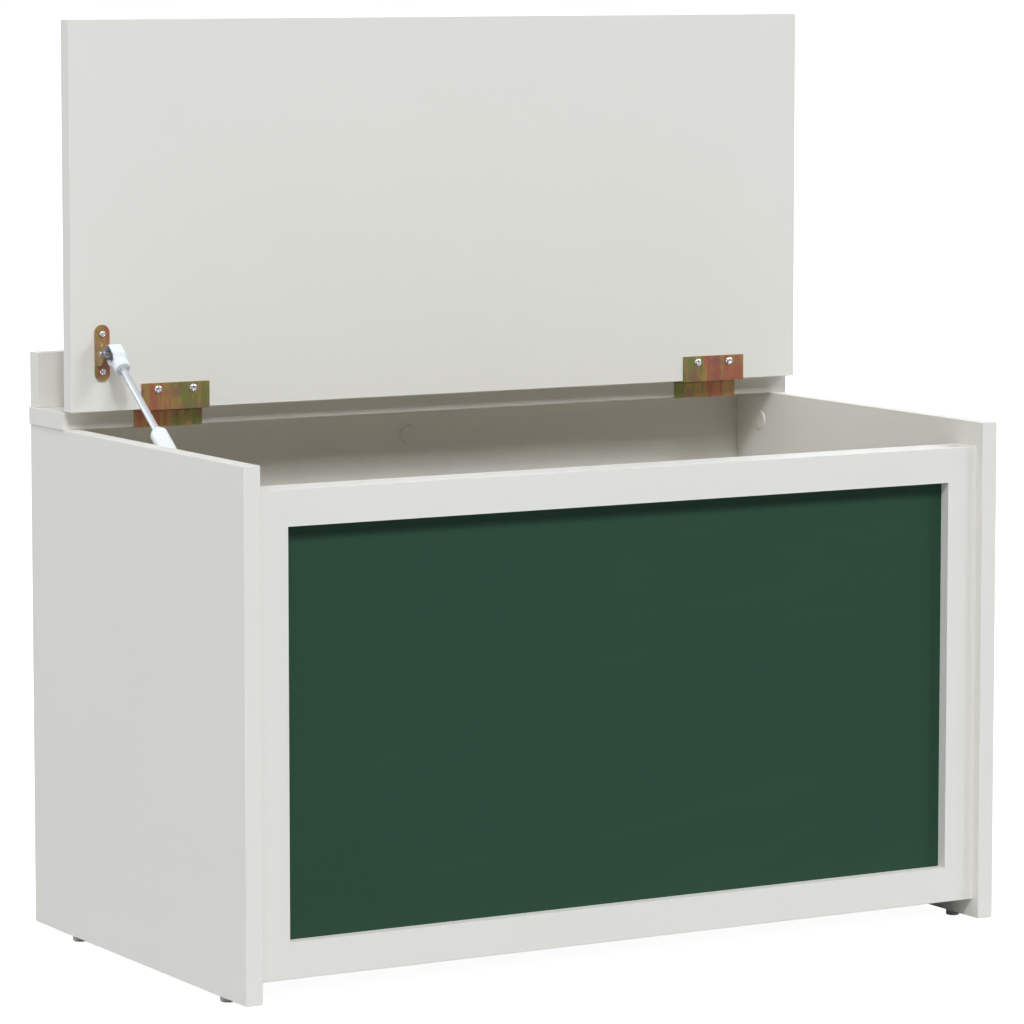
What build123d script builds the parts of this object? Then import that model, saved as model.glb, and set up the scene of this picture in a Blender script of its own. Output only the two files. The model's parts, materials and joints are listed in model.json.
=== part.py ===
"""Wooden toy box on four glides, with a chalkboard front and a lid on two wrap-round hinges and a strut.

Millimetres. X runs across the box, Y from front to back, Z up from the floor. The origin is on the floor,
under the middle of the box. The lid is modelled standing open, square to the rail it is hinged to.
"""
from build123d import *
import os
from math import atan2, cos, degrees, hypot, sin

os.makedirs("parts", exist_ok=True)

# ---- overall sizes
width = 724.0                # across both side panels, and the length of the lid and backrest
depth = 400.0                # side panels, front edge to back edge
side_height = 431.0
foot_height = 5.0
board = 15.0                 # every white board but the back
back_board = 12.0

# ---- front: a frame of four strips with the chalkboard let into its back, against a plain inner panel
frame_setback = 9.0          # frame's face behind the side panels' front edges
frame_lift = 16.0            # frame and bottom panel above the side panels' lower edges
frame_drop = 21.0            # frame's top edge below the side panels' top, the gap for fingers
stile_width = 29.0
frame_rail_height = 30.0
sheet_thickness = 4.5
sheet_overlap = 8.0          # how far the chalkboard runs behind the frame
sheet_gap = 0.2              # between the chalkboard's face and the shoulder it sits behind
sheet_side_gap = 0.5         # between the chalkboard's edges and the rebate

# ---- hinge rail across the back, backrest and lid
rail_depth = 68.0
rail_overhang = 1.5          # rail past each side panel
backrest_height = 47.0
lid_board = 15.0
lid_setback = 1.1            # closed lid's front edge behind the side panels' front edges
lid_seat_gap = 0.3           # closed lid above the side panels
edge_round = 0.6             # the rounded edging of the boards

# ---- hinges, each two bent leaves on a pin at the corner where lid and rail meet
hinge_places = {"left": -265.0, "right": 275.0}
leaf_length = 64.0
leaf_reach = 22.0            # screwed part of each leaf
leaf_thickness = 0.8
leaf_gap = 0.3               # between the two leaves with the lid closed
pin_radius = 1.0
pin_clearance = 0.05
pin_ahead = 0.6              # pin's axis in front of the rail
pin_below = 0.45             # pin's axis below the rail's top
knuckle_count = 5
knuckle_gap = 0.3
knuckle_clearance = 0.4      # round the knuckle, in the boards
leaf_screw_pitch = 33.0
leaf_screw_inset = 5.6       # from the leaf's long edge

# ---- wood screws
screw_radius = 1.6
screw_length = 12.0
screw_tip = 1.3              # chamfered end of the shank
leaf_head_radius = 3.8       # heads of the screws through the hinge leaves
bracket_head_radius = 3.0    # heads of the screws through the strut's brackets
screw_head_height = 2.0
head_shoulder = 0.72         # where a head's dome turns down, as a share of its radius and height
recess_width = 0.9           # cross recess in the head
recess_span = 4.2
recess_depth = 1.2
long_screw_radius = 1.9
long_screw_head_radius = 3.8
long_screw_head_angle = 90.0
pilot_clearance = 0.05

# ---- gas strut on the left, between a bracket under the lid and one on the side panel
strut_inset = 20.0           # strut's line in from the side panel
ball_radius = 4.0
ball_drop = 10.7             # ball's centre off the lid's underside
ball_rise = 49.6             # ball's centre from the lid's hinged edge
pivot_behind = 69.4          # lower ball behind the inner front panel
pivot_below = 93.0           # lower ball under the hinge pins
ball_clearance = 0.05
stud_radius = 2.2
stud_room = 0.6              # round the stud, in the socket
rivet_radius = 2.8           # stud's riveted end, on the outside of the bracket's ear
rivet_height = 0.5
rivet_slope = 20.0           # of the rivet's edge
collar_radius_on_stud = 4.0
collar_height = 2.0
socket_thickness = 12.0
socket_width = 14.5
socket_head = 19.0           # length of the socket's flat-sided head
socket_past_ball = 7.5       # how much of the head is beyond the ball
socket_length = 21.0         # from the ball's centre to the end of the collar
socket_chamfer = 4.0
socket_wall = 1.5            # round the hollow in the head's side that faces the ball's stud
socket_mouth_depth = 3.0
collar_radius = 7.0
collar_step = 1.0            # how much the collar narrows where it meets the head
collar_round = 1.5
rod_radius = 3.0
rod_in_socket = 10.0
rod_showing = 78.0           # with the lid open
tube_radius = 7.5
tube_wall = 1.2
cap_length = 5.0
cap_tip_radius = 4.5
cap_in_tube = 8.0
plug_length = 6.0            # closed end of the tube
piston_length = 8.0
rod_past_piston = 4.0
piston_clearance = 0.1
slide_clearance = 0.05       # rod in its guide
bracket_width = 13.5
bracket_length = 47.5
bracket_thickness = 1.5
bracket_aside = 6.5          # middle of the lid bracket, outside the strut's line
bracket_screw_pitch = 32.0
ear_length = 20.6            # ear bent out of the lid bracket
ear_reach = 14.4
ear_round = 5.0
open_pivot_gap = 0.3         # between the lower ball's neck and the side panel's stud

# ---- cam locks and dowels that join the boards
cam_radius = 7.5
cam_setback = 26.0           # cam's centre from the edge of its board
cam_floor = 2.5              # wood left behind a cam
cam_clearance = 0.1
cam_slot_width = 1.2
cap_radius = 8.5
cap_thickness = 1.2
cap_slope = 25.0             # of the cap's edge
bolt_radius = 2.5
bolt_head_radius = 3.2
bolt_head_length = 4.0
bolt_passage_radius = 3.6
bolt_in_mate = 11.0
dowel_radius = 3.0
dowel_length = 30.0
dowel_in_mate = 10.0
dowel_end_gap = 0.5
joint_low = 100.0            # lower and upper cams of the upright boards, above the side panels' foot
joint_high = 300.0
rail_cam_behind = 17.5       # cams between rail and side panels, behind the rail's front face
rail_dowel_behind = 48.0
back_dowel_place = 200.0     # dowels between rail and back, either side of the middle

# ---- screws through the inner panel and the hinge rail
frame_screw_length = 25.0
frame_screw_spread = 0.7     # share of the opening's half width where the outer ones stand
backrest_screw_length = 38.0
backrest_screw_shares = (-0.8, -0.3, 0.3, 0.8)
bottom_cam_shares = (0.2, 0.8)

# ---- feet
foot_radius = 6.0
foot_front_inset = 48.0
foot_back_inset = 74.0
nail_radius = 1.0
nail_head_radius = 2.6
nail_head_height = 1.0
foot_chamfer = 1.0
nail_length = 14.0
foot_recess = 1.5            # nail's head up inside the glide

# ---- where the boards stand
side_bottom = foot_height
side_top = side_bottom + side_height
front_y = -depth / 2
back_y = depth / 2
outer_x = width / 2
inner_x = outer_x - board
side_middle_x = outer_x - board / 2

frame_front = front_y + frame_setback
frame_back = frame_front + board
inner_panel_back = frame_back + board
frame_low = side_bottom + frame_lift
frame_high = side_top - frame_drop
frame_height = frame_high - frame_low
frame_middle_z = (frame_low + frame_high) / 2
opening_half = inner_x - stile_width
opening_low = frame_low + frame_rail_height
opening_high = frame_high - frame_rail_height
opening_middle_z = (opening_low + opening_high) / 2
rebate_depth = sheet_thickness + sheet_gap

back_front_y = back_y - back_board
back_middle_y = back_y - back_board / 2
bottom_top = frame_low + board

rail_front = back_y - rail_depth
rail_top = side_top + board
backrest_front = back_y - board

# ---- the hinge axis, and the open lid hung from it
axis_y = rail_front - pin_ahead
axis_z = rail_top - pin_below
lid_front = axis_y - (axis_z - side_top - lid_seat_gap)
lid_back = lid_front + lid_board
lid_low = axis_z + 2 * leaf_thickness + leaf_gap - pin_ahead
lid_depth = axis_y - (lid_low - axis_z) - front_y - lid_setback
knuckle_radius = pin_radius + pin_clearance + leaf_thickness
knuckle_length = leaf_length / knuckle_count
knuckle_room = knuckle_radius + knuckle_clearance
knuckle_overlap = knuckle_radius - leaf_thickness / 2

# ---- the strut's line, from the lower ball up to the upper one
strut_x = -inner_x + strut_inset
upper_y = lid_front - ball_drop
upper_z = lid_low + ball_rise
lower_y = inner_panel_back + pivot_behind
lower_z = axis_z - pivot_below
strut_length = hypot(upper_y - lower_y, upper_z - lower_z)
strut_angle = atan2(upper_z - lower_z, upper_y - lower_y)
strut_up = Vector(0, cos(strut_angle), sin(strut_angle))
bracket_x = strut_x - bracket_aside
ear_x = bracket_x - bracket_width / 2
lower_neck_end = strut_x - tube_radius
print(f"open strut: {strut_length:.1f} long, {degrees(strut_angle):.1f} degrees above level")


def facing(point, outward):
    """A drill's place on a face: Z points out of the wood, so a Hole goes into it."""
    return Plane(origin=point, z_dir=outward).location


def strut_plane(from_upper, along=1):
    """A plane square to the strut, its Z towards the lower ball if along is 1, or the upper one if -1."""
    origin = Vector(strut_x, upper_y, upper_z) - strut_up * from_upper
    return Plane(origin=origin, x_dir=(1, 0, 0), z_dir=strut_up * -along)


def save(piece, name):
    """Label one finished piece and write it to its own file."""
    piece.part.label = name
    export_step(piece.part, f"parts/{name}.step")


class EdgeJoint:
    """Where the edge of one board meets the face of its mate.

    edge is the middle of the board's edge there, to_mate points from it into the mate, and to_face is the
    outward normal of the board's face that a cam is let into.
    """

    def __init__(self, edge, to_mate, to_face, thickness):
        self.edge = Vector(*edge)
        self.to_mate = Vector(*to_mate)
        self.to_face = Vector(*to_face)
        self.thickness = thickness
        self.cam_face = self.edge - self.to_mate * cam_setback + self.to_face * (thickness / 2)
        self.cam_depth = thickness - cam_floor
        self.out_of_edge = facing(self.edge, self.to_mate)
        self.out_of_mate = facing(self.edge, self.to_mate * -1)


def pair(make):
    """The same joint at the left and at the right side panel."""
    return [make(-1), make(1)]


rail_side_cams = pair(lambda s: EdgeJoint(
    (s * side_middle_x, rail_front + rail_cam_behind, side_top), (0, 0, 1), (-s, 0, 0), board))
rail_side_dowels = pair(lambda s: EdgeJoint(
    (s * side_middle_x, rail_front + rail_dowel_behind, side_top), (0, 0, 1), (-s, 0, 0), board))
rail_back_cams = [EdgeJoint((0, back_middle_y, side_top), (0, 0, 1), (0, -1, 0), back_board)]
rail_back_dowels = [
    EdgeJoint((s * back_dowel_place, back_middle_y, side_top), (0, 0, 1), (0, -1, 0), back_board)
    for s in (-1, 1)
]


def upright_joints(s, middle_y, to_face, thickness, heights):
    """Joints between one end of an upright cross board and the side panel there."""
    return [
        EdgeJoint((s * inner_x, middle_y, side_bottom + z), (s, 0, 0), to_face, thickness) for z in heights
    ]


cam_heights = (joint_low, joint_high)
dowel_heights = ((joint_low + joint_high) / 2,)
inner_panel_middle = frame_back + board / 2
back_cams = {s: upright_joints(s, back_middle_y, (0, -1, 0), back_board, cam_heights) for s in (-1, 1)}
back_dowels = {s: upright_joints(s, back_middle_y, (0, -1, 0), back_board, dowel_heights) for s in (-1, 1)}
front_cams = {s: upright_joints(s, inner_panel_middle, (0, 1, 0), board, cam_heights) for s in (-1, 1)}
front_dowels = {s: upright_joints(s, inner_panel_middle, (0, 1, 0), board, dowel_heights) for s in (-1, 1)}

bottom_span = back_front_y - inner_panel_back
bottom_middle_z = frame_low + board / 2


def bottom_joints(s, shares):
    """Joints along one end of the bottom panel, at shares of its depth."""
    return [
        EdgeJoint((s * inner_x, inner_panel_back + bottom_span * share, bottom_middle_z),
                  (s, 0, 0), (0, 0, -1), board)
        for share in shares
    ]


bottom_cams = {s: bottom_joints(s, bottom_cam_shares) for s in (-1, 1)}
bottom_dowels = {s: bottom_joints(s, (0.5,)) for s in (-1, 1)}

all_cams = rail_side_cams + rail_back_cams
all_dowels = rail_side_dowels + rail_back_dowels
for s in (-1, 1):
    all_cams += back_cams[s] + front_cams[s] + bottom_cams[s]
    all_dowels += back_dowels[s] + front_dowels[s] + bottom_dowels[s]
capped_cams = [joint for joint in all_cams if joint.to_face.Z == 0]


def round_edges(board_piece, edges=None):
    """Round the edging of a board: all its edges, or the ones given."""
    fillet(edges or board_piece.edges(), radius=edge_round)


def bore_cams(joints):
    """In the cam's own board: its pocket, and the passage for the bolt from the edge."""
    for joint in joints:
        with Locations(facing(joint.cam_face, joint.to_face)):
            Hole(radius=cam_radius, depth=joint.cam_depth)
        with Locations(joint.out_of_edge):
            Hole(radius=bolt_passage_radius, depth=cam_setback)


def bore_pilots(joints):
    """In the mate: the hole that the bolt's thread is driven into."""
    with Locations(*[joint.out_of_mate for joint in joints]):
        Hole(radius=bolt_radius + pilot_clearance, depth=bolt_in_mate + pilot_clearance)


def bore_dowels_in_edge(joints):
    """Half of each dowel's hole, in the board's edge."""
    with Locations(*[joint.out_of_edge for joint in joints]):
        Hole(radius=dowel_radius + pilot_clearance, depth=dowel_length - dowel_in_mate + dowel_end_gap)


def bore_dowels_in_mate(joints):
    """The other half, in the mate's face."""
    with Locations(*[joint.out_of_mate for joint in joints]):
        Hole(radius=dowel_radius + pilot_clearance, depth=dowel_in_mate + dowel_end_gap)


# ---- screws: one short and one long pattern, standing on the origin with the shank down Z
def pan_screw(head_radius):
    """A short screw, with a domed head that is seated on the origin."""
    with BuildPart() as screw:
        with BuildSketch(Plane.XZ):
            with BuildLine():
                ThreePointArc(
                    (0, screw_head_height),
                    (head_radius * head_shoulder, screw_head_height * head_shoulder),
                    (head_radius, 0),
                )
                Line((head_radius, 0), (0, 0))
                Line((0, 0), (0, screw_head_height))
            make_face()
        revolve(axis=Axis.Z)
        with BuildSketch():
            Circle(screw_radius)
        extrude(amount=-screw_length)
        chamfer(screw.faces().sort_by(Axis.Z)[0].edges(), length=screw_tip)
        with BuildSketch(Plane.XY.offset(screw_head_height)):
            Rectangle(recess_span, recess_width)
            Rectangle(recess_width, recess_span)
        extrude(amount=-recess_depth, mode=Mode.SUBTRACT)
    return screw.part


def long_screw(length):
    """A countersunk screw whose flat head is level with the origin, with its shank down Z."""
    with BuildPart() as screw:
        with BuildSketch(Plane.XZ):
            with BuildLine():
                Polyline(
                    (0, 0),
                    (long_screw_head_radius, 0),
                    (long_screw_radius, long_screw_radius - long_screw_head_radius),
                    (long_screw_radius, long_screw_radius - length),
                    (0, -length),
                    close=True,
                )
            make_face()
        revolve(axis=Axis.Z)
        with BuildSketch():
            Rectangle(recess_span, recess_width)
            Rectangle(recess_width, recess_span)
        extrude(amount=-recess_depth, mode=Mode.SUBTRACT)
    return screw.part


def screw_row(places, screw):
    """A group of like screws, one at each place."""
    with BuildPart() as row:
        with Locations(*places):
            add(screw)
    return row


def bore_long_screws(places, length):
    """A countersunk hole for each long screw, from the face that its head is let into."""
    with Locations(*places):
        CounterSinkHole(
            radius=long_screw_radius + pilot_clearance,
            counter_sink_radius=long_screw_head_radius + pilot_clearance,
            depth=length + pilot_clearance,
            counter_sink_angle=long_screw_head_angle,
        )


# ---- frame screws: through the inner panel into the four strips, heads inside the box
strip_middle_x = inner_x - stile_width / 2
strip_high_z = frame_high - frame_rail_height / 2
strip_low_z = frame_low + frame_rail_height / 2
frame_screw_xs = (-frame_screw_spread * opening_half, 0, frame_screw_spread * opening_half)
frame_screw_points = [(x, z) for z in (strip_low_z, strip_high_z) for x in frame_screw_xs]
frame_screw_points += [(s * strip_middle_x, z) for s in (-1, 1) for z in (opening_low, opening_high)]
frame_screw_places = [facing((x, inner_panel_back, z), (0, 1, 0)) for x, z in frame_screw_points]

# ---- backrest screws: up through the rail, heads hidden by the back panel
backrest_middle_y = backrest_front + board / 2
backrest_screw_places = [
    facing((share * outer_x, backrest_middle_y, side_top), (0, 0, -1)) for share in backrest_screw_shares
]

# ---- small screws: where each hinge leaf and strut bracket is fastened
head_off_lid = lid_front - leaf_thickness
head_under_rail = side_top - leaf_thickness
leaf_screw_rise = leaf_reach - leaf_screw_inset


def screw_pair(x):
    """The two screws of one hinge leaf, across its middle."""
    return (x - leaf_screw_pitch / 2, x + leaf_screw_pitch / 2)


lid_leaf_screws = {
    name: [facing((at, head_off_lid, lid_low + leaf_screw_rise), (0, -1, 0)) for at in screw_pair(x)]
    for name, x in hinge_places.items()
}
rail_leaf_screws = {
    name: [facing((at, rail_front + leaf_screw_rise, head_under_rail), (0, 0, -1)) for at in screw_pair(x)]
    for name, x in hinge_places.items()
}
lid_bracket_screws = [
    facing((bracket_x, lid_front - bracket_thickness, upper_z + s * bracket_screw_pitch / 2), (0, -1, 0))
    for s in (-1, 1)
]
case_bracket_screws = [
    facing((-inner_x + bracket_thickness, lower_y, lower_z + s * bracket_screw_pitch / 2), (1, 0, 0))
    for s in (-1, 1)
]


def bore_screws(places):
    """Holes for short screws, wherever their heads stand, through leaf or bracket and into the wood."""
    with Locations(*places):
        Hole(radius=screw_radius + pilot_clearance, depth=screw_length + pilot_clearance)


# ---- side panels
foot_places = [
    (side_name + "_" + end_name, s * side_middle_x, y, s)
    for side_name, s in (("left", -1), ("right", 1))
    for end_name, y in (("front", front_y + foot_front_inset), ("back", back_y - foot_back_inset))
]
for side_name, s in (("left", -1), ("right", 1)):
    with BuildPart() as side_panel:
        with BuildSketch(Plane.XY.offset(side_bottom)):
            with Locations((s * side_middle_x, 0)):
                Rectangle(board, depth)
        extrude(amount=side_height)
        round_edges(side_panel)
        bore_cams([joint for joint in rail_side_cams if joint.edge.X * s > 0])
        bore_dowels_in_edge([joint for joint in rail_side_dowels if joint.edge.X * s > 0])
        bore_pilots(back_cams[s] + front_cams[s] + bottom_cams[s])
        bore_dowels_in_mate(back_dowels[s] + front_dowels[s] + bottom_dowels[s])
        nail_places = [facing((x, y, side_bottom), (0, 0, -1)) for _, x, y, side in foot_places if side == s]
        with Locations(*nail_places):
            Hole(radius=nail_radius + pilot_clearance, depth=nail_length + pilot_clearance)
        if s == -1:
            bore_screws(case_bracket_screws)
    save(side_panel, f"{side_name}_side_panel")

# ---- cross boards between the side panels
with BuildPart() as back_panel:
    with BuildSketch(Plane.XY.offset(frame_low)):
        with Locations((0, back_middle_y)):
            Rectangle(2 * inner_x, back_board)
    extrude(amount=side_top - frame_low)
    bore_cams(rail_back_cams + back_cams[-1] + back_cams[1])
    bore_dowels_in_edge(rail_back_dowels + back_dowels[-1] + back_dowels[1])
save(back_panel, "back_panel")

with BuildPart() as bottom_panel:
    with BuildSketch(Plane.XY.offset(frame_low)):
        with Locations((0, inner_panel_back + bottom_span / 2)):
            Rectangle(2 * inner_x, bottom_span)
    extrude(amount=board)
    bore_cams(bottom_cams[-1] + bottom_cams[1])
    bore_dowels_in_edge(bottom_dowels[-1] + bottom_dowels[1])
save(bottom_panel, "bottom_panel")

with BuildPart() as inner_front_panel:
    with BuildSketch(Plane.XY.offset(frame_low)):
        with Locations((0, inner_panel_middle)):
            Rectangle(2 * inner_x, board)
    extrude(amount=frame_high - frame_low)
    round_edges(inner_front_panel, inner_front_panel.edges().filter_by(Axis.X).group_by(Axis.Y)[-1])
    bore_cams(front_cams[-1] + front_cams[1])
    bore_dowels_in_edge(front_dowels[-1] + front_dowels[1])
    bore_long_screws(frame_screw_places, frame_screw_length)
save(inner_front_panel, "inner_front_panel")


def frame_strip(middle_x, middle_z, across, up):
    """One strip of the front frame, rebated at the back for the chalkboard."""
    with BuildPart() as strip:
        with BuildSketch(Plane.XZ.offset(-frame_back)):
            with Locations((middle_x, middle_z)):
                Rectangle(across, up)
        extrude(amount=board)
        long_edges = strip.edges().filter_by(Axis.X).group_by(Axis.Y)[0]
        near_end = frame_height / 2 - edge_round
        round_edges(strip, [edge for edge in long_edges if abs(edge.center().Z - frame_middle_z) > near_end])
        with BuildSketch(Plane.XZ.offset(-frame_back)):
            with Locations((0, opening_middle_z)):
                Rectangle(2 * (opening_half + sheet_overlap), opening_high - opening_low + 2 * sheet_overlap)
        extrude(amount=rebate_depth, mode=Mode.SUBTRACT)
        bore_long_screws(frame_screw_places, frame_screw_length)
    return strip


# ---- front frame and chalkboard
save(frame_strip(-strip_middle_x, frame_middle_z, stile_width, frame_height), "front_left_stile")
save(frame_strip(strip_middle_x, frame_middle_z, stile_width, frame_height), "front_right_stile")
save(frame_strip(0, strip_high_z, 2 * opening_half, frame_rail_height), "front_top_rail")
save(frame_strip(0, strip_low_z, 2 * opening_half, frame_rail_height), "front_bottom_rail")

with BuildPart() as chalkboard_sheet:
    with BuildSketch(Plane.XZ.offset(-frame_back)):
        with Locations((0, opening_middle_z)):
            sheet_reach = sheet_overlap - sheet_side_gap
            Rectangle(2 * (opening_half + sheet_reach), opening_high - opening_low + 2 * sheet_reach)
    extrude(amount=sheet_thickness)
save(chalkboard_sheet, "chalkboard_sheet")

save(screw_row(frame_screw_places, long_screw(frame_screw_length)), "frame_screws")


def clear_knuckles():
    """A cove in the corner of a board, round the knuckles of each hinge."""
    middles = [Plane(origin=(x, axis_y, axis_z), z_dir=(1, 0, 0)).location for x in hinge_places.values()]
    with Locations(*middles):
        Cylinder(knuckle_room, leaf_length + 2 * knuckle_clearance, mode=Mode.SUBTRACT)


# ---- hinge rail and backrest
with BuildPart() as hinge_rail:
    with BuildSketch(Plane.XY.offset(side_top)):
        with Locations((0, back_y - rail_depth / 2)):
            Rectangle(width + 2 * rail_overhang, rail_depth)
    extrude(amount=board)
    round_edges(hinge_rail)
    clear_knuckles()
    bore_pilots(rail_side_cams + rail_back_cams)
    bore_dowels_in_mate(rail_side_dowels + rail_back_dowels)
    bore_long_screws(backrest_screw_places, backrest_screw_length)
    for places in rail_leaf_screws.values():
        bore_screws(places)
save(hinge_rail, "hinge_rail")

with BuildPart() as backrest:
    with BuildSketch(Plane.XY.offset(rail_top)):
        with Locations((0, backrest_middle_y)):
            Rectangle(width, board)
    extrude(amount=backrest_height)
    round_edges(backrest)
    bore_long_screws(backrest_screw_places, backrest_screw_length)
save(backrest, "backrest")

save(screw_row(backrest_screw_places, long_screw(backrest_screw_length)), "backrest_screws")

# ---- lid
with BuildPart() as lid_panel:
    with BuildSketch(Plane.XY.offset(lid_low)):
        with Locations((0, lid_front + lid_board / 2)):
            Rectangle(width, lid_board)
    extrude(amount=lid_depth)
    round_edges(lid_panel)
    clear_knuckles()
    for places in lid_leaf_screws.values():
        bore_screws(places)
    bore_screws(lid_bracket_screws)
save(lid_panel, "lid_panel")


# ---- hinges
def corners(low_y, high_y, low_z, high_z):
    """A rectangle in the hinge's cross section, between two opposite corners."""
    with Locations(((low_y + high_y) / 2, (low_z + high_z) / 2)):
        Rectangle(high_y - low_y, high_z - low_z)


def knuckle_starts(x, first):
    """Where every second knuckle of a hinge begins, along X."""
    return [x - leaf_length / 2 + knuckle_length * i for i in range(first, knuckle_count, 2)]


for name, x in hinge_places.items():
    start_x = x - leaf_length / 2
    edge_top = lid_low
    edge_bottom = lid_low - leaf_thickness
    knuckle_front = axis_y - knuckle_radius - leaf_gap
    with BuildPart() as lid_leaf:
        with BuildSketch(Plane.YZ.offset(start_x)):
            corners(lid_front - leaf_thickness, lid_front, edge_bottom, lid_low + leaf_reach)
            corners(lid_front - leaf_thickness, knuckle_front, edge_bottom, edge_top)
        extrude(amount=leaf_length)
        for knuckle_x in knuckle_starts(x, 1):
            with BuildSketch(Plane.YZ.offset(knuckle_x + knuckle_gap / 2)):
                with Locations((axis_y, axis_z)):
                    Circle(knuckle_radius)
                corners(knuckle_front - leaf_gap, axis_y - knuckle_overlap, edge_bottom, edge_top)
                with Locations((axis_y, axis_z)):
                    Circle(pin_radius + pin_clearance, mode=Mode.SUBTRACT)
            extrude(amount=knuckle_length - knuckle_gap)
        bore_screws(lid_leaf_screws[name])
    save(lid_leaf, f"hinge_{name}_lid_leaf")

    face_front = rail_front - leaf_thickness
    knuckle_low = axis_z - knuckle_radius - leaf_gap
    with BuildPart() as rail_leaf:
        with BuildSketch(Plane.YZ.offset(start_x)):
            corners(face_front, rail_front, side_top - leaf_thickness, knuckle_low)
            corners(face_front, rail_front + leaf_reach, side_top - leaf_thickness, side_top)
        extrude(amount=leaf_length)
        for knuckle_x in knuckle_starts(x, 0):
            with BuildSketch(Plane.YZ.offset(knuckle_x + knuckle_gap / 2)):
                with Locations((axis_y, axis_z)):
                    Circle(knuckle_radius)
                corners(face_front, rail_front, knuckle_low - leaf_gap, axis_z - knuckle_overlap)
                with Locations((axis_y, axis_z)):
                    Circle(pin_radius + pin_clearance, mode=Mode.SUBTRACT)
            extrude(amount=knuckle_length - knuckle_gap)
        bore_screws(rail_leaf_screws[name])
    save(rail_leaf, f"hinge_{name}_rail_leaf")

    with BuildPart() as hinge_pin:
        with BuildSketch(Plane.YZ.offset(start_x)):
            with Locations((axis_y, axis_z)):
                Circle(pin_radius)
        extrude(amount=leaf_length)
    save(hinge_pin, f"hinge_{name}_pin")

    save(screw_row(lid_leaf_screws[name], pan_screw(leaf_head_radius)), f"hinge_{name}_lid_screws")
    save(screw_row(rail_leaf_screws[name], pan_screw(leaf_head_radius)), f"hinge_{name}_rail_screws")

# ---- strut: bracket under the lid, a plate with an ear bent out to carry the ball
with BuildPart() as lid_bracket:
    with BuildSketch(Plane.XZ.offset(-lid_front)):
        with Locations((bracket_x, upper_z)):
            SlotOverall(bracket_length, bracket_width, rotation=90)
    extrude(amount=bracket_thickness)
    with BuildSketch(Plane.YZ.offset(ear_x)):
        corners(lid_front - ear_reach, lid_front - bracket_thickness / 2, upper_z - ear_length / 2,
                upper_z + ear_length / 2)
    extrude(amount=bracket_thickness)
    fillet(lid_bracket.edges().filter_by(Axis.X).group_by(Axis.Y)[0], radius=ear_round)
    with Locations(Plane(origin=(ear_x, upper_y, upper_z), z_dir=(-1, 0, 0)).location):
        Hole(radius=stud_radius, depth=bracket_thickness)
    bore_screws(lid_bracket_screws)
save(lid_bracket, "strut_lid_bracket")

with BuildPart() as lid_ball_stud:
    with BuildSketch(Plane.YZ.offset(ear_x)):
        with Locations((upper_y, upper_z)):
            Circle(stud_radius)
    extrude(amount=strut_x - ear_x)
    with BuildSketch(Plane.YZ.offset(ear_x)):
        with Locations((upper_y, upper_z)):
            Circle(rivet_radius)
    extrude(amount=-rivet_height, taper=rivet_slope)
    with BuildSketch(Plane.YZ.offset(ear_x + bracket_thickness)):
        with Locations((upper_y, upper_z)):
            Circle(collar_radius_on_stud)
    extrude(amount=collar_height)
    with Locations((strut_x, upper_y, upper_z)):
        Sphere(ball_radius)
save(lid_ball_stud, "strut_lid_ball_stud")
save(screw_row(lid_bracket_screws, pan_screw(bracket_head_radius)), "strut_lid_screws")


def ball_socket(from_upper, along, seat_radius, seat_depth):
    """A plastic socket: a flat-sided head round the ball and a round collar, run along the strut.

    from_upper is the ball's place along the strut and along is 1 for the upper end and -1 for the lower,
    so that the collar always points at the middle of the strut.
    """
    ball_plane = strut_plane(from_upper, along)
    collar_from = strut_plane(from_upper + along * (socket_head - socket_past_ball), along)
    end_from = strut_plane(from_upper + along * socket_length, along)
    side_middle = ball_plane.origin - Vector(socket_thickness / 2, 0, 0)
    side_plane = Plane(origin=side_middle, x_dir=ball_plane.z_dir, z_dir=(1, 0, 0))
    with BuildPart() as socket:
        with BuildSketch(strut_plane(from_upper - along * socket_past_ball, along)):
            Rectangle(socket_thickness, socket_width)
        extrude(amount=socket_head)
        chamfer(socket.edges().filter_by(Axis.X), length=socket_chamfer)
        with BuildSketch(collar_from):
            Circle(collar_radius - collar_step)
        with BuildSketch(collar_from.offset(collar_round)):
            Circle(collar_radius)
        loft()
        with BuildSketch(collar_from.offset(collar_round)):
            Circle(collar_radius)
        extrude(amount=socket_length - socket_head + socket_past_ball - collar_round)
        fillet(
            socket.edges().filter_by(GeomType.CIRCLE).sort_by_distance(end_from.origin)[0],
            radius=collar_round,
        )
        with BuildSketch(end_from):
            Circle(seat_radius)
        extrude(amount=-seat_depth, mode=Mode.SUBTRACT)
        with Locations(ball_plane.origin):
            Sphere(ball_radius + ball_clearance, mode=Mode.SUBTRACT)
        with BuildSketch(side_plane) as mouth:
            with Locations((socket_head / 2 - socket_past_ball, 0)):
                Rectangle(socket_head - 2 * socket_wall, socket_width - 2 * socket_wall)
            chamfer(mouth.vertices(), length=socket_chamfer - socket_wall / 2)
        extrude(amount=socket_mouth_depth, mode=Mode.SUBTRACT)
        with BuildSketch(side_plane):
            Circle(stud_radius + stud_room)
        extrude(amount=socket_thickness / 2, mode=Mode.SUBTRACT)
    return socket


save(ball_socket(0, 1, rod_radius, rod_in_socket), "strut_rod_socket")

# ---- strut: rod, and piston inside the tube
rod_start = socket_length - rod_in_socket
tube_start = socket_length + rod_showing
rod_end = tube_start + cap_in_tube + piston_length + rod_past_piston
with BuildPart() as rod:
    with BuildSketch(strut_plane(rod_start)):
        Circle(rod_radius)
    extrude(amount=rod_end - rod_start)
save(rod, "strut_rod")

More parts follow.
